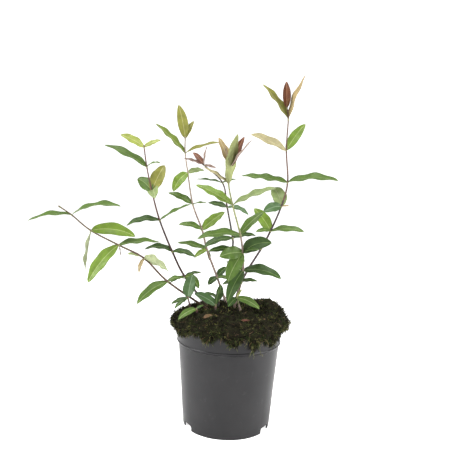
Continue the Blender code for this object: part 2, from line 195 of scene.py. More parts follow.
def makeMottleGroup():
    # Two colours mixed in soft patches, with a height of finer grain
    group, given, made = newGroup(
        "softMottle",
        [("Colour", "NodeSocketColor", (0.5, 0.5, 0.5, 1)), ("Patch", "NodeSocketColor", (0.3, 0.3, 0.3, 1)),
         ("Scale", "NodeSocketFloat", 200.0), ("Grain Scale", "NodeSocketFloat", 900.0),
         ("Low", "NodeSocketFloat", 0.4), ("High", "NodeSocketFloat", 0.62)],
        [("Colour", "NodeSocketColor"), ("Mask", "NodeSocketFloat"), ("Grain", "NodeSocketFloat")],
    )
    patches = addNoise(group, given.outputs["Scale"], mottle["patchDetail"])
    grain = addNoise(group, given.outputs["Grain Scale"], mottle["grainDetail"])
    spread = group.nodes.new("ShaderNodeMapRange")
    group.links.new(patches.outputs["Fac"], spread.inputs["Value"])
    group.links.new(given.outputs["Low"], spread.inputs["From Min"])
    group.links.new(given.outputs["High"], spread.inputs["From Max"])
    blend = addBlend(group, spread.outputs["Result"], given.outputs["Colour"])
    group.links.new(given.outputs["Patch"], blend.inputs[7])
    group.links.new(blend.outputs[2], made.inputs["Colour"])
    group.links.new(spread.outputs["Result"], made.inputs["Mask"])
    group.links.new(grain.outputs["Fac"], made.inputs["Grain"])
    return group


mottleGroup = makeMottleGroup()


def finishMaterial(name, colour, patch, roughness, scale, grainScale=900, bump=0.2, depth=0.0003,
                   roughSpread=0.12, specular=0.5):
    material = bpy.data.materials.new(name)
    material.use_nodes = True
    tree = material.node_tree
    shader = tree.nodes["Principled BSDF"]
    patches = tree.nodes.new("ShaderNodeGroup")
    patches.node_tree = mottleGroup
    patches.inputs["Colour"].default_value = (*colour, 1)
    patches.inputs["Patch"].default_value = (*patch, 1)
    patches.inputs["Scale"].default_value = scale
    patches.inputs["Grain Scale"].default_value = grainScale
    tree.links.new(patches.outputs["Colour"], shader.inputs["Base Color"])
    rough = tree.nodes.new("ShaderNodeMapRange")
    rough.inputs["To Min"].default_value = roughness - roughSpread
    rough.inputs["To Max"].default_value = min(1.0, roughness + roughSpread)
    tree.links.new(patches.outputs["Mask"], rough.inputs["Value"])
    tree.links.new(rough.outputs["Result"], shader.inputs["Roughness"])
    relief = tree.nodes.new("ShaderNodeBump")
    relief.inputs["Strength"].default_value = bump
    relief.inputs["Distance"].default_value = depth
    tree.links.new(patches.outputs["Grain"], relief.inputs["Height"])
    tree.links.new(relief.outputs["Normal"], shader.inputs["Normal"])
    shader.inputs["Specular IOR Level"].default_value = specular
    return material


def scaled(colour, share):
    return tuple(part * share for part in colour)


def towards(colour, other, share):
    return tuple(a + (b - a) * share for a, b in zip(colour, other))


# The leaf tints: colours of the face, the under side and the midrib
leafTints = dict(
    deep=((0.040, 0.084, 0.016), (0.12, 0.185, 0.065), (0.15, 0.23, 0.07)),
    mid=((0.086, 0.155, 0.024), (0.20, 0.27, 0.10), (0.25, 0.33, 0.12)),
    fresh=((0.165, 0.26, 0.034), (0.31, 0.38, 0.14), (0.37, 0.45, 0.16)),
    yellow=((0.31, 0.36, 0.075), (0.42, 0.44, 0.18), (0.48, 0.50, 0.22)),
    pale=((0.24, 0.31, 0.12), (0.35, 0.40, 0.21), (0.41, 0.46, 0.25)),
    blue=((0.072, 0.140, 0.048), (0.18, 0.25, 0.15), (0.22, 0.30, 0.18)),
    sage=((0.150, 0.205, 0.036), (0.30, 0.33, 0.13), (0.38, 0.41, 0.17)),
    olive=((0.235, 0.235, 0.048), (0.35, 0.34, 0.13), (0.43, 0.41, 0.18)),
    tan=((0.37, 0.28, 0.13), (0.45, 0.37, 0.21), (0.51, 0.43, 0.26)),
    cream=((0.36, 0.32, 0.17), (0.40, 0.36, 0.22), (0.46, 0.41, 0.26)),
    wine=((0.135, 0.045, 0.018), (0.24, 0.12, 0.06), (0.32, 0.15, 0.08)),
    mauve=((0.185, 0.115, 0.085), (0.29, 0.21, 0.17), (0.36, 0.26, 0.21)),
    dead=((0.17, 0.10, 0.045), (0.20, 0.13, 0.07), (0.12, 0.07, 0.035)),
    chip=((0.10, 0.032, 0.018), (0.12, 0.05, 0.03), (0.08, 0.03, 0.018)),
)
leafParts = ("face", "under", "rib")
leafFinish = dict(
    patch=0.78, roughness=dict(face=0.42, under=0.55, rib=0.55),
    surface=dict(scale=140, bump=0.1, depth=0.0002, roughSpread=0.08, specular=0.3),
)


def makeLeafMaterials():
    made = {}
    for tint, colours in leafTints.items():
        for part, colour in zip(leafParts, colours):
            name = "leaf%s%s" % (tint.capitalize(), part.capitalize())
            patch = scaled(colour, leafFinish["patch"])
            roughness = leafFinish["roughness"][part]
            made[tint, part] = finishMaterial(name, colour, patch, roughness, **leafFinish["surface"])
    return made


# Young stems: foot colour and tip colour of each
stemTones = dict(
    farLeft=((0.11, 0.065, 0.04), (0.17, 0.12, 0.07)),
    left=((0.05, 0.022, 0.020), (0.12, 0.050, 0.038)),
    centreLeft=((0.27, 0.19, 0.155), (0.34, 0.26, 0.20)),
    centre=((0.035, 0.028, 0.026), (0.07, 0.045, 0.035)),
    front=((0.24, 0.175, 0.14), (0.27, 0.29, 0.12)),
    right=((0.050, 0.026, 0.028), (0.14, 0.070, 0.050)),
)

# The plant: each stem's foot in plan, then its internodes (length, lean, heading) with the leaves
# at the upper node: (turn, rise, bend, length, face, tint, width)
farLeftStem = dict(
    foot=(-28, -8), tone="farLeft",
    growth=(
        ((56, 56, -173), ((205, -14, 40, 45, 20, "mid"), (30, 36, 60, 23, 15, "mid"))),
        ((39, 46, -172), ((-35, -1, 30, 40, -60, "pale", 17), (150, 21, 30, 25, -40, "fresh"),
                          (-150, -51, 40, 18, 20, "tan"))),
        ((33, 63, -172), ((-155, -36, 30, 55, 40, "fresh"), (25, 15, 25, 51, 8, "mid"),
                          (70, -60, 20, 17, 60, "mauve"))),
        ((35, 63, -173), ((15, 15, 45, 52, 60, "fresh"), (115, -49, 20, 60, 65, "pale"))),
        ((28, 51, -169), ((-12, 34, 45, 62, 5, "mid"), (190, 8, 35, 49, 5, "mid"))),
        ((16, 56, -172), ()),
    ),
)
leftStem = dict(
    foot=(-28, 4), tone="left",
    growth=(
        ((44, 40, 172), ((20, 27, 30, 22, 10, "deep"), (-35, 12, 80, 27, 40, "mid", 10),
                         (200, -3, 40, 20, 15, "deep"))),
        ((34, 31, 160), ((-15, 13, 45, 31, 25, "deep"), (165, 30, 60, 38, 10, "deep"))),
        ((41, 26, 160), ((-15, 36, 15, 45, 10, "mid"), (195, 15, 50, 42, 20, "deep"))),
        ((37, 20, 152), ((50, 68, 20, 39, 30, "olive", 17), (150, 53, 40, 28, 60, "mid", 15),
                         (-75, 25, 80, 32, 20, "pale", 15))),
        ((31, 16, 152), ((-10, 50, 70, 20, 10, "mid"), (172, 35, 20, 61, 8, "mid"))),
        ((25, 14, 138), ((25, 35, 20, 24, 35, "yellow"), (205, 34, 20, 33, 60, "yellow", 12))),
    ),
)
centreLeftStem = dict(
    foot=(-5, 24), tone="centreLeft",
    growth=(
        ((33, 26, 146), ((30, 54, 20, 18, 40, "deep", 9), (200, -20, 40, 15, 40, "deep", 9),
                         (-20, 16, 40, 18, 30, "mid"))),
        ((37, 28, 144), ((165, 22, 25, 41, 12, "mid"), (-140, -4, 40, 22, 40, "fresh"),
                         (-35, -52, 40, 14, 30, "mid"))),
        ((27, 24, 133), ((20, 45, 15, 38, 50, "fresh", 14), (195, 36, 50, 32, 35, "mid"))),
        ((36, 28, 143), ((165, 34, 25, 37, 25, "mid"), (-25, 20, 25, 20, 8, "mid"))),
        ((42, 18, 129), ((45, 24, 30, 30, 45, "pale"), (-135, -21, 50, 35, 40, "fresh", 14))),
        ((27, 16, 129), ((-5, 28, 20, 50, 10, "olive"), (185, 48, 10, 54, 15, "sage"))),
        ((20, 12, 102), ((20, 72, 15, 26, 50, "olive"), (160, 81, 10, 45, 70, "olive", 14))),
    ),
)
centreStem = dict(
    foot=(0, 11), tone="centre",
    growth=(
        ((68, 6, 82), ((190, 6, 25, 30, 35, "deep"), (-10, -25, 40, 22, 30, "deep"))),
        ((13, 9, 103), ((205, 6, 45, 41, 20, "deep"), (25, 25, 40, 33, 15, "deep"))),
        ((39, 15, 143), ((155, 19, 20, 27, 35, "deep"), (-30, 10, 50, 32, 15, "blue"))),
        ((31, 17, 139), ((195, 13, 15, 34, 4, "deep"), (15, 30, 30, 18, 10, "deep"))),
        ((32, 49, 170), ((-40, 87, 15, 25, 10, "mauve"), (-10, -2, 20, 16, 25, "mauve"),
                         (140, 49, 20, 25, 30, "wine"), (170, 24, 15, 27, 10, "mauve"))),
    ),
)
frontStem = dict(
    foot=(5, -4), tone="front",
    growth=(
        ((35, 18, -49), ((-160, 13, 40, 24, 30, "deep"), (10, 20, 40, 20, 30, "deep"))),
        ((14, 14, -62), ((-15, 17, 50, 47, 40, "deep", 15), (-130, -34, 35, 44, 20, "deep", 14),
                         (165, 38, 30, 23, 40, "mid"))),
        ((22, 14, -106), ((-5, 51, 60, 37, 60, "deep", 17), (-145, -46, 25, 38, 50, "mid", 17),
                          (-35, 35, 40, 23, 30, "deep"), (205, 8, 30, 30, 70, "mid", 15))),
        ((23, 16, -128), ((200, 9, 30, 52, 15, "mid"), (25, 51, 20, 39, 25, "mid"))),
        ((36, 22, -138), ((165, 33, 15, 49, 20, "fresh"), (-15, 31, 15, 53, 12, "pale"))),
        ((25, 19, -130), ((-60, 79, 10, 56, 0, "sage", 15), (200, 37, 15, 34, 20, "cream"))),
        ((18, 8, -52), ((150, 68, 10, 37, 10, "tan"), (-150, 74, 10, 26, 20, "mauve"),
                        (25, 71, 10, 38, 30, "wine", 9), (-25, 56, 10, 39, 8, "mauve"))),
    ),
)
rightStem = dict(
    foot=(5, 13), tone="right",
    growth=(
        ((29, 18, 18), ()),
        ((22, 27, 11), ()),
        ((25, 32, 17), ((20, 40, 30, 9, 20, "tan"), (190, 30, 40, 12, 20, "deep"))),
        ((25, 28, 20), ((-15, 17, 30, 42, 15, "mid"), (160, 60, 20, 35, 60, "fresh", 15),
                        (-150, 15, 35, 22, 40, "mid"))),
        ((33, 23, 18), ((-155, 2, 35, 26, 60, "blue", 13), (120, 75, 50, 31, 10, "pale", 19),
                        (-30, 16, 20, 11, 20, "tan"))),
        ((31, 15, 30), ((-15, 21, 35, 63, 14, "mid"), (165, 11, 10, 60, 12, "mid"))),
        ((40, 7, 126), ((25, 60, 15, 43, 60, "fresh"), (205, 25, 15, 53, 38, "cream"))),
        ((39, 6, 75), ((-15, 75, 10, 57, 20, "tan"), (165, 59, 15, 55, 10, "olive"))),
        ((14, 10, 156), ((100, 83, 10, 34, 5, "wine"), (-80, 70, 30, 14, 10, "wine"))),
    ),
)
leftBasalShoot = dict(
    foot=(-45, -17), tone="left",
    growth=(
        ((17, 16, 180), ((60, 82, 20, 28, 0, "blue", 15), (190, -6, 30, 21, 20, "deep"),
                         (-145, -17, 30, 21, 10, "deep"))),
    ),
)
soilLeafShoot = dict(
    foot=(-38, -24), tone="left",
    growth=(((5, 20, 220), ((-140, 0, 40, 27, 40, "mid"), (40, 30, 30, 12, 20, "deep"))),),
)
centreBasalShoot = dict(
    foot=(-17, -16), tone="left",
    growth=(((5, 10, 90), ((180, 42, 30, 29, 50, "blue", 12), (60, 78, 20, 19, 30, "deep"))),),
)
darkBasalShoot = dict(
    foot=(-14, 2), tone="centre",
    growth=(((7, 10, 60), ((80, 70, 20, 20, 0, "deep", 9), (190, 50, 40, 20, 20, "deep"))),),
)
rightBasalShoot = dict(
    foot=(12, -17), tone="front",
    growth=(
        ((15, 18, 170), ((-25, 2, 40, 31, 40, "mid", 10), (-150, -25, 30, 15, 40, "deep", 8),
                         (10, 66, 10, 12, 20, "yellow"))),
    ),
)

# Each stem with the bough that it replaces, then its masses of leaves with their first internodes
limbs = (
    ("farLeft", farLeftStem, "far_left_bough",
     (("far_left_lower_foliage", 0), ("far_left_upper_foliage", 3))),
    ("left", leftStem, "left_bough", (("left_lower_foliage", 0), ("left_upper_foliage", 3))),
    ("centreLeft", centreLeftStem, "centre_left_bough",
     (("centre_left_lower_foliage", 0), ("centre_left_upper_foliage", 4))),
    ("centre", centreStem, "centre_bough", (("centre_foliage", 0),)),
    ("front", frontStem, "front_bough", (("front_lower_foliage", 0), ("front_upper_foliage", 4))),
    ("right", rightStem, "right_bough", (("right_lower_foliage", 2), ("right_upper_foliage", 5))),
    ("leftBasal", leftBasalShoot, None, (("left_basal_foliage", 0),)),
    ("soilLeaf", soilLeafShoot, None, (("soil_foliage", 0),)),
    ("centreBasal", centreBasalShoot, None, (("centre_basal_foliage", 0),)),
    ("darkBasal", darkBasalShoot, None, (("dark_basal_foliage", 0),)),
    ("rightBasal", rightBasalShoot, None, (("right_basal_foliage", 0),)),
)


# Meshes
def addPiece(name, mesh, materials, smooth=True):
    for material in materials:
        mesh.materials.append(material)
    if smooth:
        mesh.shade_smooth()
    obj = bpy.data.objects.new(name, mesh)
    bpy.context.collection.objects.link(obj)
    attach(obj, "root")
    return obj


def meshFrom(name, points, faces, marks=None):
    mesh = bpy.data.meshes.new(name)
    mesh.from_pydata([point * mm for point in points], [], faces)
    if marks:
        mesh.polygons.foreach_set("material_index", marks)
    mesh.update()
    return mesh


# The pot's sizes, which the moss mound needs too
potSize = dict(
    rimRadius=65.0, rimHeight=126.0, lipHeight=3.0, lipDepth=1.4, bandTopRadius=63.4,
    bandFootRadius=61.8, ledgeHeight=101.0, ledgeDepth=1.6, step=2.5, footRadius=52.0, wall=1.3,
    floor=2.0, drumRadius=43.0, channelHeight=8.0, draft=0.8, sides=192, lipRound=0.45, ledgeRound=1.2,
    weld=0.01, sharpAngle=42,
)
notchSize = dict(turns=(-30, 90, 210), width=17.0, height=6.5, depth=9.0, corner=2.2, cornerSteps=5,
                 cornerRound=0.5)

# Moss mound, by the same rule as its solid
moss = dict(
    radius=70.0, wave=1.3, waves=5, waveStart=1, ripple=0.8, ripples=11, rise=14.5, shoulder=5.0,
    hump=10.0, humpAt=(48, 12), humpSpread=17.0, lump=0.9, lumps=4, lumpCalm=0.25, lumpLength=30.0,
    lumpTwist=0.6, fade=12, skirt=4.0, skirtRadius=67.6, skirtCurl=1.5, skirtRings=5,
    ragged=1.2, raggedPace=9, raggedShift=(4, 2), inside=65.6, insideDepth=1.5, brow=1.5, browShare=0.985,
    turns=260, rings=54, ringGrowth=0.85, crumb=3.2, coarse=0.17, fine=0.45, fineShift=(7, 3, 1),
    fineShare=0.5, crumbFade=6, skirtCrumb=0.5, sink=0.3,
)
# Clumps that hang over the rim: direction and half spread in degrees, then depth
mossClumps = (
    (-143, 11, 6), (-111, 9, 7), (-86, 10, 9), (-66, 6, 16), (-45, 14, 12),
    (5, 12, 4), (48, 14, 8), (95, 16, 5), (140, 12, 9), (182, 10, 4),
)


def mossEdge(turn):
    wave = moss["wave"] * sin(moss["waves"] * turn + moss["waveStart"])
    return moss["radius"] + wave + moss["ripple"] * sin(moss["ripples"] * turn)


def mossHeight(radius, turn):
    share = min(1.0, radius / mossEdge(turn))
    crown = moss["rise"] * (1 - share ** (moss["shoulder"] + cos(turn)))
    off = (Vector((radius * cos(turn), radius * sin(turn))) - Vector(moss["humpAt"])).length
    hump = moss["hump"] * exp(-(off / moss["humpSpread"]) ** 2 / 2)
    wave = 2 * pi * radius / moss["lumpLength"]
    lump = moss["lump"] * (moss["lumpCalm"] + share * share)
    lump *= sin(moss["lumps"] * turn + wave * moss["lumpTwist"]) * cos(wave)
    return potSize["rimHeight"] + crown + (hump + lump) * (1 - share ** moss["fade"])


def mossDrop(turn):
    drop = moss["skirt"]
    for middle, spread, depth in mossClumps:
        away = (turn * 180 / pi - middle + 180) % 360 - 180
        drop += depth * max(0.0, 1 - (away / spread) ** 2)
    return drop


def crumble(place, size=1.0):
    # Uneven ground, with fine crumbs on coarse ones
    coarse = noise.noise(place * moss["coarse"])
    fine = noise.noise(place * moss["fine"] + Vector(moss["fineShift"]))
    return moss["crumb"] * size * (coarse + moss["fineShare"] * fine)


def mossPoint(radius, turn):
    place = Vector((radius * cos(turn), radius * sin(turn), mossHeight(radius, turn)))
    share = radius / mossEdge(turn)
    place.z += crumble(place) * (1 - share ** moss["crumbFade"]) - moss["sink"]
    return place


def skirtPoint(turn, share):
    # share runs from the brow (0) to the ragged lower edge (1)
    rim = potSize["rimHeight"]
    where = Vector((turn * moss["raggedPace"], *moss["raggedShift"]))
    ragged = moss["ragged"] * noise.noise(where)
    low = rim - mossDrop(turn) - ragged * share
    z = rim + moss["brow"] + (low - rim - moss["brow"]) * share
    edge = mossEdge(turn)
    radius = edge + (moss["skirtRadius"] - edge) * share ** moss["skirtCurl"]
    place = Vector((radius * cos(turn), radius * sin(turn), z))
    outward = Vector((cos(turn), sin(turn), 0))
    return place + outward * crumble(place, moss["skirtCrumb"]) * (1 - share)


def makeMossMound(material):
    # Rings from the middle out to the brow, down the skirt, then up again inside it
    turns = [step / moss["turns"] * 2 * pi - pi for step in range(moss["turns"])]
    rings = []
    for ring in range(1, moss["rings"] + 1):
        share = (ring / moss["rings"]) ** moss["ringGrowth"] * moss["browShare"]
        rings.append([mossPoint(share * mossEdge(turn), turn) for turn in turns])
    for ring in range(moss["skirtRings"] + 1):
        rings.append([skirtPoint(turn, ring / moss["skirtRings"]) for turn in turns])
    inside = [Vector((moss["inside"] * cos(turn), moss["inside"] * sin(turn), 0)) for turn in turns]
    rings.append([place + up * edge.z for place, edge in zip(inside, rings[-1])])
    rings.append([place + up * (potSize["rimHeight"] - moss["insideDepth"]) for place in inside])
    points = [mossPoint(0.0, 0.0)] + [point for ring in rings for point in ring]
    faces = []
    for step in range(len(turns)):
        after = (step + 1) % len(turns)
        faces.append((0, 1 + step, 1 + after))
        for low in range(1, len(points) - len(turns), len(turns)):
            high = low + len(turns)
            faces.append((low + step, high + step, high + after, low + after))
    mound = addPiece("mossMound", meshFrom("mossMound", points, faces), [material])
    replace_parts(mound, "moss_mound")
    print("moss mound made")


def drawVector(draw, spans):
    return Vector([draw.uniform(*span) for span in spans])


frond = dict(pieces=3, taper=3.4, tiltScales=(3, 5), tilt=0.7)


def addFrond(points, faces, root, aim, length, width, curl):
    # A narrow ribbon that tapers to a point and bends over
    pieces = frond["pieces"]
    tilt = [noise.noise(root * scale) for scale in frond["tiltScales"]]
    side = aim.cross(Vector((*tilt, frond["tilt"]))).normalized()
    first = len(points)
    place = root.copy()
    heading = aim.copy()
    for step in range(pieces):
        half = side * width / 2 * (1 - step / frond["taper"])
        points.append(place - half)
        points.append(place + half)
        place = place + heading * length / pieces
        heading = (heading + curl).normalized()
    points.append(place)
    last = first + 2 * pieces - 2
    for low in range(first, last, 2):
        faces.append((low, low + 1, low + 3, low + 2))
    faces.append((last, last + 1, last + 2))


# Tufts of each kind: their number, the fronds in each, the least and greatest length, the width
tuftKinds = dict(
    dark=(1150, 9, (2.5, 7.0), 0.95), green=(700, 9, (2.5, 7.0), 0.85), olive=(330, 7, (2.5, 7.5), 0.75),
    fibre=(600, 1, (5.0, 13.0), 0.5),
)
tufts = dict(
    skirtShare=0.42, skirtSpread=0.7, skirtDepth=0.6, skirtReach=(0.2, 0.6), skirtRise=(0.5, 1.0),
    skirtDroop=2.0, topSpread=0.5, topDepth=0.8, topRise=(0.3, 1.0), topLean=4, growth=(0.6, 1.1),
    lean=((-1, 1), (-1, 1), (-0.4, 0.4)), splay=0.95, curl=((-0.5, 0.5), (-0.5, 0.5), (-0.7, 0.1)),
    fibreRise=0.35, firstSeed=40,
)


def tuftRoot(draw):
    # A place on the skirt or the top, and the way a tuft points there
    turn = draw.uniform(-pi, pi)
    outward = Vector((cos(turn), sin(turn), 0))
    if draw.random() < tufts["skirtShare"]:
        share = draw.random() ** tufts["skirtSpread"]
        aim = outward * draw.uniform(*tufts["skirtReach"])
        aim += up * (draw.uniform(*tufts["skirtRise"]) - tufts["skirtDroop"] * share)
        return skirtPoint(turn, share) - outward * tufts["skirtDepth"], aim
    radius = mossEdge(turn) * moss["browShare"] * draw.random() ** tufts["topSpread"]
    aim = up * draw.uniform(*tufts["topRise"])
    aim += outward * (radius / moss["radius"]) ** tufts["topLean"]
    return mossPoint(radius, turn) - up * tufts["topDepth"], aim


def makeTufts(kind, material, seed):
    count, each, lengths, width = tuftKinds[kind]
    draw = random.Random(seed)
    points = []
    faces = []
    for index in range(count):
        root, aim = tuftRoot(draw)
        size = draw.uniform(*tufts["growth"])
        for number in range(each):
            lean = drawVector(draw, tufts["lean"])
            heading = aim + lean * tufts["splay"]
            if kind == "fibre":
                heading.z *= tufts["fibreRise"]
            curl = drawVector(draw, tufts["curl"])
            length = draw.uniform(*lengths) * size
            addFrond(points, faces, root + lean, heading.normalized(), length, width, curl)
    name = "moss%sTufts" % kind.capitalize()
    addPiece(name, meshFrom(name, points, faces), [material], smooth=False)
    print(name, len(faces))


# Long moss stems that hang or stick out of the mound: direction, share down the skirt, length, lift
sprigs = dict(
    places=((-66, 0.7, 17, -0.9), (-72, 0.8, 14, -1.0), (-58, 0.8, 15, -1.0), (-48, 0.6, 13, -0.8),
            (-40, 0.5, 12, -0.2), (-30, 0.3, 11, 0.1), (-22, 0.2, 12, 0.5), (-12, 0.3, 10, 0.3),
            (-4, 0.6, 10, -0.5), (-86, 0.8, 10, -0.9), (-112, 0.8, 11, -0.9), (-128, 0.8, 9, -0.9),
            (-146, 0.5, 10, -0.7), (-158, 0.3, 9, 0.2), (60, 0.7, 12, -0.9), (100, 0.4, 9, 0.3),
            (135, 0.8, 12, -0.9), (165, 0.5, 10, -0.6)),
    strands=4, steps=11, turnSpread=(-5, 5), shareSpread=(-0.15, 0.15), depth=0.8, reach=0.55,
    splay=(-0.7, 0.7), bend=(-0.12, 0.12), droop=0.05, growth=(0.6, 1.0), stemWidth=0.45, overlap=1.6,
    leafLength=1.9, leafWidth=0.7, leafGrowth=(0.6, 1.1), leafAim=0.6, leafSplay=0.8, seed=91,
)


def makeSprigs(material):
    draw = random.Random(sprigs["seed"])
    points = []
    faces = []
    for degrees, share, length, lift in sprigs["places"]:
        for strand in range(sprigs["strands"]):
            turn = radians(degrees + draw.uniform(*sprigs["turnSpread"]))
            outward = Vector((cos(turn), sin(turn), 0))
            around = Vector((-sin(turn), cos(turn), 0))
            height = min(1.0, share + draw.uniform(*sprigs["shareSpread"]))
            place = skirtPoint(turn, height) - outward * sprigs["depth"]
            heading = outward * sprigs["reach"] + up * lift + around * draw.uniform(*sprigs["splay"])
            heading.normalize()
            bend = around * draw.uniform(*sprigs["bend"]) - (up + outward) * sprigs["droop"]
            step = length * draw.uniform(*sprigs["growth"]) / sprigs["steps"]
            for number in range(sprigs["steps"]):
                addFrond(points, faces, place, heading, step * sprigs["overlap"], sprigs["stemWidth"], bend)
                aim = heading * sprigs["leafAim"]
                aim += drawVector(draw, ((-1, 1), (-1, 1), (-1, 1))) * sprigs["leafSplay"]
                size = sprigs["leafLength"] * draw.uniform(*sprigs["leafGrowth"])
                addFrond(points, faces, place, aim.normalized(), size, sprigs["leafWidth"], bend)
                place = place + heading * step
                heading = (heading + bend).normalized()
    addPiece("mossSprigs", meshFrom("mossSprigs", points, faces), [material], smooth=False)
    print("moss sprigs made", len(faces))


# Colour and patch of each kind of moss
mossTones = dict(
    ground=((0.010, 0.008, 0.005), (0.020, 0.020, 0.009)),
    dark=((0.011, 0.012, 0.006), (0.024, 0.020, 0.010)),
    green=((0.026, 0.040, 0.011), (0.048, 0.062, 0.018)),
    olive=((0.16, 0.165, 0.05), (0.085, 0.07, 0.03)),
    fibre=((0.26, 0.17, 0.095), (0.12, 0.07, 0.04)),
    sprig=((0.17, 0.165, 0.075), (0.085, 0.09, 0.035)),
)
groundSurface = dict(
    roughness=0.95, scale=180, grainScale=1100, bump=0.8, depth=0.001, roughSpread=0.05, specular=0.1,
)
tuftSurface = dict(roughness=0.85, scale=260, bump=0.1, specular=0.15)
sprigSurface = dict(roughness=0.85, scale=300, bump=0.1, specular=0.15)


def makeMoss():
    makeMossMound(finishMaterial("mossGround", *mossTones["ground"], **groundSurface))
    for seed, kind in enumerate(tuftKinds, tufts["firstSeed"]):
        material = finishMaterial("moss" + kind.capitalize(), *mossTones[kind], **tuftSurface)
        makeTufts(kind, material, seed)
    makeSprigs(finishMaterial("mossSprig", *mossTones["sprig"], **sprigSurface))


# Pot
def innerRadius(height):
    size = potSize
    top = size["bandFootRadius"] - size["ledgeDepth"]
    body = size["ledgeHeight"] - size["ledgeDepth"]
    if height <= body:
        return size["footRadius"] + (top - size["footRadius"]) * height / body - size["wall"]
    share = max(0.0, (height - size["ledgeHeight"]) / (size["rimHeight"] - size["ledgeHeight"]))
    return size["bandFootRadius"] + (size["bandTopRadius"] - size["bandFootRadius"]) * share - size["wall"]


def arc(middle, radius, start, end, steps=5):
    turns = [radians(start + (end - start) * step / steps) for step in range(steps + 1)]
    return [(middle[0] + radius * cos(turn), middle[1] + radius * sin(turn)) for turn in turns]


def turnedMesh(name, profile, sides):
    mesh = bpy.data.meshes.new(name)
    points = [(radius * mm, 0, height * mm) for radius, height in profile]
    mesh.from_pydata(points, [(i, i + 1) for i in range(len(points) - 1)], [])
    obj = bpy.data.objects.new(name, mesh)
    bpy.context.collection.objects.link(obj)
    screw = obj.modifiers.new("turn", "SCREW")
    screw.steps = sides
    screw.render_steps = sides
    screw.use_merge_vertices = True
    screw.merge_threshold = potSize["weld"] * mm
    return obj


def bakeMesh(obj):
    bpy.context.view_layer.update()
    mesh = bpy.data.meshes.new_from_object(obj.evaluated_get(bpy.context.evaluated_depsgraph_get()))
    bpy.data.objects.remove(obj, do_unlink=True)
    return mesh


def notchCutter(turn):
    mesh = bpy.data.meshes.new("notchCutter")
    block = bmesh.new()
    bmesh.ops.create_cube(block, size=1)
    size = Vector((notchSize["depth"], notchSize["width"], notchSize["height"] * 2)) * mm
    bmesh.ops.scale(block, vec=size, verts=block.verts)
    bmesh.ops.bevel(block, geom=block.edges[:], offset=notchSize["corner"] * mm, affect="EDGES",
                    segments=notchSize["cornerSteps"], profile=notchSize["cornerRound"])
    block.to_mesh(mesh)
    block.free()
    cutter = bpy.data.objects.new("notchCutter", mesh)
    ahead = Vector((cos(radians(turn)), sin(radians(turn)), 0))
    cutter.location = ahead * (potSize["footRadius"] + potSize["draft"]) * mm
    cutter.rotation_euler.z = radians(turn)
    bpy.context.collection.objects.link(cutter)
    return cutter


def makePot():
    size = potSize
    rim = size["rimHeight"]
    ledge = size["ledgeHeight"]
    soft = size["lipRound"]
    floor = size["floor"]
    drum = size["drumRadius"]
    channel = size["channelHeight"]
    skirt = size["footRadius"] - size["wall"]
    lipFoot = rim - size["lipHeight"]
    bodyTop = size["bandFootRadius"] - size["ledgeDepth"]
    profile = [
        (0, floor), (drum - floor - size["draft"], floor), (drum - floor, channel + floor),
        (innerRadius(channel + floor), channel + floor),
        (innerRadius(ledge - size["step"]), ledge - size["step"]), (innerRadius(ledge), ledge),
        (innerRadius(rim), rim - soft),
    ]
    profile += arc((innerRadius(rim) + soft, rim - soft), soft, 180, 90)
    profile += arc((size["rimRadius"] - soft, rim - soft), soft, 90, 0)
    profile += arc((size["rimRadius"] - soft, lipFoot + size["lipDepth"] + soft), soft, 0, -60, 3)
    profile += arc((size["bandTopRadius"] + soft, lipFoot - soft), soft, 120, 180, 3)
    bead = size["ledgeRound"]
    profile += arc((size["bandFootRadius"] - bead / 2, ledge + bead), bead, 60, -80, 6)
    profile += arc((bodyTop + soft, ledge - size["ledgeDepth"] - soft), soft, 110, 180, 4)
    profile += arc((size["footRadius"] - soft, soft), soft, 0, -90, 4)
    profile += arc((skirt + soft, soft), soft, -90, -180, 3)
    profile += [(skirt, channel), (drum + size["draft"], channel), (drum, 0), (0, 0)]
    body = turnedMesh("potBody", profile, size["sides"])
    cutters = [notchCutter(turn) for turn in notchSize["turns"]]
    for cutter in cutters:
        cut = body.modifiers.new("notch", "BOOLEAN")
        cut.operation = "DIFFERENCE"
        cut.solver = "EXACT"
        cut.object = cutter
    mesh = bakeMesh(body)
    for cutter in cutters:
        bpy.data.objects.remove(cutter, do_unlink=True)
    mesh.materials.clear()
    pot = addPiece("potShell", mesh, [makePlastic()])
    mesh.set_sharp_from_angle(angle=radians(size["sharpAngle"]))
    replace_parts(pot, "nursery_pot")
    print("pot made", len(mesh.polygons))


# Satin moulded plastic with faint scuffs, and dust in patches of its own
plasticFinish = dict(
    colour=(0.013, 0.0125, 0.014), patch=(0.018, 0.017, 0.0185), roughness=0.34, scale=26,
    grainScale=1500, bump=0.12, depth=0.0002, roughSpread=0.05, specular=0.32,
)
plasticDust = dict(colour=(0.060, 0.057, 0.058), scale=95, low=0.62, high=1.0)


def makePlastic():
    material = finishMaterial("charcoalPlastic", **plasticFinish)
    tree = material.node_tree
    shader = tree.nodes["Principled BSDF"]
    dust = tree.nodes.new("ShaderNodeGroup")
    dust.node_tree = mottleGroup
    dust.inputs["Scale"].default_value = plasticDust["scale"]
    dust.inputs["Low"].default_value = plasticDust["low"]
    dust.inputs["High"].default_value = plasticDust["high"]
    under = shader.inputs["Base Color"].links[0].from_socket
    wear = addBlend(tree, dust.outputs["Mask"], under)
    wear.inputs[7].default_value = (*plasticDust["colour"], 1)
    tree.links.new(wear.outputs[2], shader.inputs["Base Color"])
    return material


peatFinish = dict(colour=(0.02, 0.014, 0.01), patch=(0.04, 0.028, 0.018), roughness=0.95, scale=300)


def makePeat():
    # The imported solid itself, under the moss
    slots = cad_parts["peat"].data.materials
    slots.clear()
    slots.append(finishMaterial("darkPeat", **peatFinish))


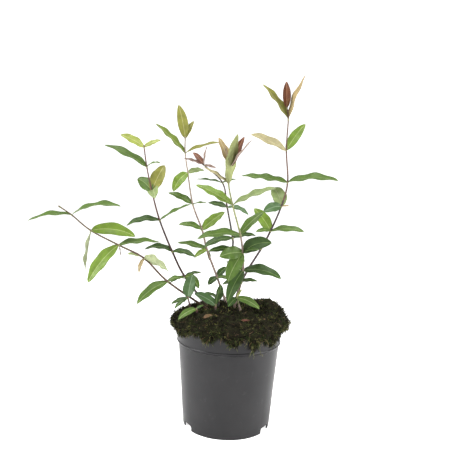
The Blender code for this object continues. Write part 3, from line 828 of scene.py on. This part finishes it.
# Stems
twig = dict(
    footRadius=1.45, tipRadius=0.75, footClear=0.7, footCut=4.0, beyond=1.5, sides=10, piece=1.6,
    swell=0.25, swellLength=2.2, tipRound=0.35, ridge=0.06, ridgeScale=0.4, ridgePace=2,
    oldShare=0.55, nodeReach=1.3, nodeColour=(0.33, 0.36, 0.14), nodeShare=0.6, patch=0.7,
)
barkSurface = dict(roughness=0.6, scale=320, grainScale=1300, bump=0.35, depth=0.0002)


def stemNodes(stem):
    x, y = stem["foot"]
    nodes = [Vector((x, y, mossHeight(hypot(x, y), atan2(y, x)) + twig["footClear"]))]
    for (length, lean, heading), leaves in stem["growth"]:
        flat = sin(radians(lean))
        step = Vector((flat * cos(radians(heading)), flat * sin(radians(heading)), cos(radians(lean))))
        nodes.append(nodes[-1] + step * length)
    return nodes


def curvePoint(before, start, end, after, share):
    linear = (end - before) * share
    square = (before * 2 - start * 5 + end * 4 - after) * share ** 2
    cube = (start * 3 - before - end * 3 + after) * share ** 3
    return start + (linear + square + cube) / 2


def stemLine(nodes):
    # The stem's middle line as (distance, point), with the distance of each node between its ends
    tipStep = (nodes[-1] - nodes[-2]).normalized() * twig["beyond"]
    chain = [nodes[0] * 2 - nodes[1]] + nodes + [nodes[-1] + tipStep, nodes[-1] + tipStep * 2]
    line = [(0.0, nodes[0])]
    marks = []
    for index in range(1, len(chain) - 2):
        span = (chain[index + 1] - chain[index]).length
        steps = max(2, int(span / twig["piece"]))
        for step in range(1, steps + 1):
            point = curvePoint(*chain[index - 1:index + 3], step / steps)
            line.append((line[-1][0] + (point - line[-1][1]).length, point))
        marks.append(line[-1][0])
    return line, marks[:-1]


def stemRadius(distance, total, marks):
    radius = twig["footRadius"] + (twig["tipRadius"] - twig["footRadius"]) * distance / total
    for mark in marks:
        radius += twig["swell"] * exp(-((distance - mark) / twig["swellLength"]) ** 2)
    return radius


def makeStem(name, stem, nodes, materials, bough):
    line, marks = stemLine(nodes)
    total = line[-1][0]
    line.insert(0, (0.0, line[0][1] - (line[1][1] - line[0][1]).normalized() * twig["footCut"]))
    sides = twig["sides"]
    last = len(line) - 1
    old, young, node = range(3)
    points = []
    faces = []
    kinds = []
    normal = Vector((1, 0, 0))
    for index, (distance, middle) in enumerate(line):
        ahead = line[min(index + 1, last)][1] - line[max(index - 1, 0)][1]
        ahead.normalize()
        normal = (normal - ahead * normal.dot(ahead)).normalized()
        across = ahead.cross(normal)
        radius = stemRadius(distance, total, marks) * (twig["tipRound"] if index == last else 1)
        for side in range(sides):
            turn = side / sides * 2 * pi
            where = middle * twig["ridgeScale"] + Vector((turn * twig["ridgePace"], 0, 0))
            bark = 1 + twig["ridge"] * noise.noise(where)
            points.append(middle + (normal * cos(turn) + across * sin(turn)) * radius * bark)
    for index in range(last):
        distance = line[index + 1][0]
        kind = old if distance < total * twig["oldShare"] else young
        if min(abs(distance - mark) for mark in marks) < twig["nodeReach"]:
            kind = node
        for side in range(sides):
            after = (side + 1) % sides
            low = index * sides
            faces.append((low + side, low + after, low + sides + after, low + sides + side))
            kinds.append(kind)
    faces.append(tuple(last * sides + side for side in range(sides)))
    kinds.append(young)
    faces.append(tuple(reversed(range(sides))))
    kinds.append(old)
    obj = addPiece(name + "Stem", meshFrom(name, points, faces, kinds), materials)
    if bough:
        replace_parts(obj, bough)


def makeBark(tone):
    # Old bark, young bark and the paler rings at the nodes
    foot, tip = stemTones[tone]
    colours = dict(Old=foot, Young=tip, Node=towards(tip, twig["nodeColour"], twig["nodeShare"]))
    return [finishMaterial(tone + part + "Bark", colour, scaled(colour, twig["patch"]), **barkSurface)
            for part, colour in colours.items()]


# Leaves
blade = dict(
    widthRatio=0.3, fold=14, petiole=0.55, widest=0.85, bluntness=0.65, tipHalf=0.12, stations=18,
    thickness=0.34, edgeThinning=0.55, rib=0.32, ribMost=0.6, ribZone=0.2, keel=0.25, keelEnd=0.85,
    wave=0.13, waves=2.5, wavesSpread=(0.8, 1.3), cup=0.10, twist=(-9, 9), faceMore=12, faceBelow=40,
    seed=7,
)
bladeColumns = (-1.0, -0.86, -0.62, -0.36, -0.12, 0.12, 0.36, 0.62, 0.86, 1.0)


def leafHalfWidth(share, width):
    if share == 1:
        return blade["tipHalf"]
    oval = sin(pi * share ** blade["widest"]) ** blade["bluntness"]
    return max(blade["petiole"], width / 2 * oval)


def leafStations(turn, rise, bend, length, face, twist):
    # Along the midrib: the share of the length, the point, and the ways across and above the blade
    heading = Vector((cos(radians(turn)), sin(radians(turn)), 0))
    front = Vector((heading.y, -heading.x, 0))
    if front.y > 0:
        front = -front
    if 0 <= face < blade["faceBelow"]:
        face += blade["faceMore"]
    middle = Vector()
    last = 0.0
    for step in range(blade["stations"] + 1):
        share = step / blade["stations"]
        angle = radians(rise - bend * (share + last) / 2)
        middle = middle + (heading * cos(angle) + up * sin(angle)) * length * (share - last)
        last = share
        angle = radians(rise - bend * share)
        ahead = heading * cos(angle) + up * sin(angle)
        above = (up * cos(angle) - heading * sin(angle)) * cos(radians(face))
        above += front * sin(radians(face))
        across = ahead.cross(above).normalized()
        above = across.cross(ahead).normalized()
        roll = radians(twist) * share
        across, above = across * cos(roll) + above * sin(roll), above * cos(roll) - across * sin(roll)
        yield share, middle, across, above


def bladeLift(away, half, share, waves, phase):
    # How far the blade stands off its flat: folded at the midrib, cupped, and wavy at the margins
    side = abs(away)
    wavy = sin(waves * 2 * pi * share + phase + (away > 0))
    lift = (half - blade["petiole"]) * sin(radians(blade["fold"])) * side
    lift += half * (blade["cup"] * (side - side ** 2) + blade["wave"] * wavy * side ** 3)
    return max(-half, lift)


def addLeaf(store, root, draw, turn, rise, bend, length, face, tint, width=None):
    points, faces, kinds = store
    width = width or length * blade["widthRatio"]
    phase = draw.uniform(0, 2 * pi)
    waves = blade["waves"] * draw.uniform(*blade["wavesSpread"])
    twist = draw.uniform(*blade["twist"])
    rows = []
    for share, middle, across, above in leafStations(turn, rise, bend, length, face, twist):
        half = leafHalfWidth(share, width)
        rib = min(blade["ribMost"], blade["rib"] / half)
        upper = []
        lower = []
        for column in bladeColumns:
            away = column if abs(column) > blade["ribZone"] else (rib if column > 0 else -rib)
            lift = bladeLift(away, half, share, waves, phase)
            place = root + middle + across * half * away + above * lift
            thin = blade["thickness"] / 2 * (1 - blade["edgeThinning"] * abs(away))
            hasKeel = abs(away) < blade["ribZone"] and share < blade["keelEnd"]
            upper.append(len(points))
            points.append(place + above * thin)
            lower.append(len(points))
            points.append(place - above * (thin + blade["keel"] if hasKeel else thin))
        rows.append((upper, lower))
    closeLeaf(rows, tint, faces, kinds)


def closeLeaf(rows, tint, faces, kinds):
    # The upper and under skins, the margins and the two ends
    face, under, rib = range(3)
    last = len(bladeColumns) - 1
    for (upperA, lowerA), (upperB, lowerB) in zip(rows, rows[1:]):
        for column in range(last):
            faces.append((upperA[column], upperB[column], upperB[column + 1], upperA[column + 1]))
            kinds.append((tint, rib if column == last // 2 else face))
            faces.append((lowerA[column], lowerA[column + 1], lowerB[column + 1], lowerB[column]))
            kinds.append((tint, under))
        for column in (0, last):
            ring = (upperA[column], lowerA[column], lowerB[column], upperB[column])
            faces.append(ring if column == 0 else ring[::-1])
            kinds.append((tint, under))
    for (upper, lower), back in ((rows[0], 1), (rows[-1], -1)):
        faces.append((*upper, *reversed(lower))[::back])
        kinds.append((tint, rib))


def addLeafPiece(name, store, materials):
    points, faces, kinds = store
    used = sorted(set(kinds))
    mesh = meshFrom(name, points, faces, [used.index(kind) for kind in kinds])
    shell = bmesh.new()
    shell.from_mesh(mesh)
    bmesh.ops.recalc_face_normals(shell, faces=shell.faces)
    shell.to_mesh(mesh)
    shell.free()
    return addPiece(name, mesh, [materials[tint, leafParts[part]] for tint, part in used])


def makeMass(node, stem, nodes, first, last, materials, draw):
    store = ([], [], [])
    for index in range(first, last):
        for leaf in stem["growth"][index][1]:
            addLeaf(store, nodes[index + 1], draw, *leaf)
    words = node.split("_")
    name = words[0] + "".join(word.capitalize() for word in words[1:-1]) + "Leaves"
    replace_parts(addLeafPiece(name, store, materials), node)


def makePlant(leafMaterials):
    bark = {tone: makeBark(tone) for tone in stemTones}
    draw = random.Random(blade["seed"])
    for name, stem, bough, masses in limbs:
        nodes = stemNodes(stem)
        makeStem(name, stem, nodes, bark[stem["tone"]], bough)
        lasts = [first for node, first in masses[1:]] + [len(stem["growth"])]
        for (node, first), last in zip(masses, lasts):
            makeMass(node, stem, nodes, first, last, leafMaterials, draw)
    print("stems and leaves made")


# Dead leaves and a chip of bark that lie on the moss
litter = dict(
    clear=1.6, seed=3,
    pieces=(
        dict(at=(-30, -44), turn=35, rise=22, bend=30, length=13, face=15, tint="dead", width=5),
        dict(at=(12, -52), turn=8, rise=4, bend=6, length=10, face=15, tint="chip", width=3),
        dict(at=(40, -40), turn=150, rise=8, bend=30, length=9, face=10, tint="dead", width=3),
        dict(at=(-8, 46), turn=70, rise=10, bend=30, length=14, face=15, tint="dead", width=5),
    ),
)


def makeLitter(leafMaterials):
    store = ([], [], [])
    draw = random.Random(litter["seed"])
    for piece in litter["pieces"]:
        leaf = dict(piece)
        x, y = leaf.pop("at")
        root = mossPoint(hypot(x, y), atan2(y, x)) + up * litter["clear"]
        addLeaf(store, root, draw, **leaf)
    addLeafPiece("mossLitter", store, leafMaterials)
    print("litter made")


def main():
    makeCamera()
    makeStudio()
    makePot()
    makeMoss()
    makePeat()
    leafMaterials = makeLeafMaterials()
    makePlant(leafMaterials)
    makeLitter(leafMaterials)


main()
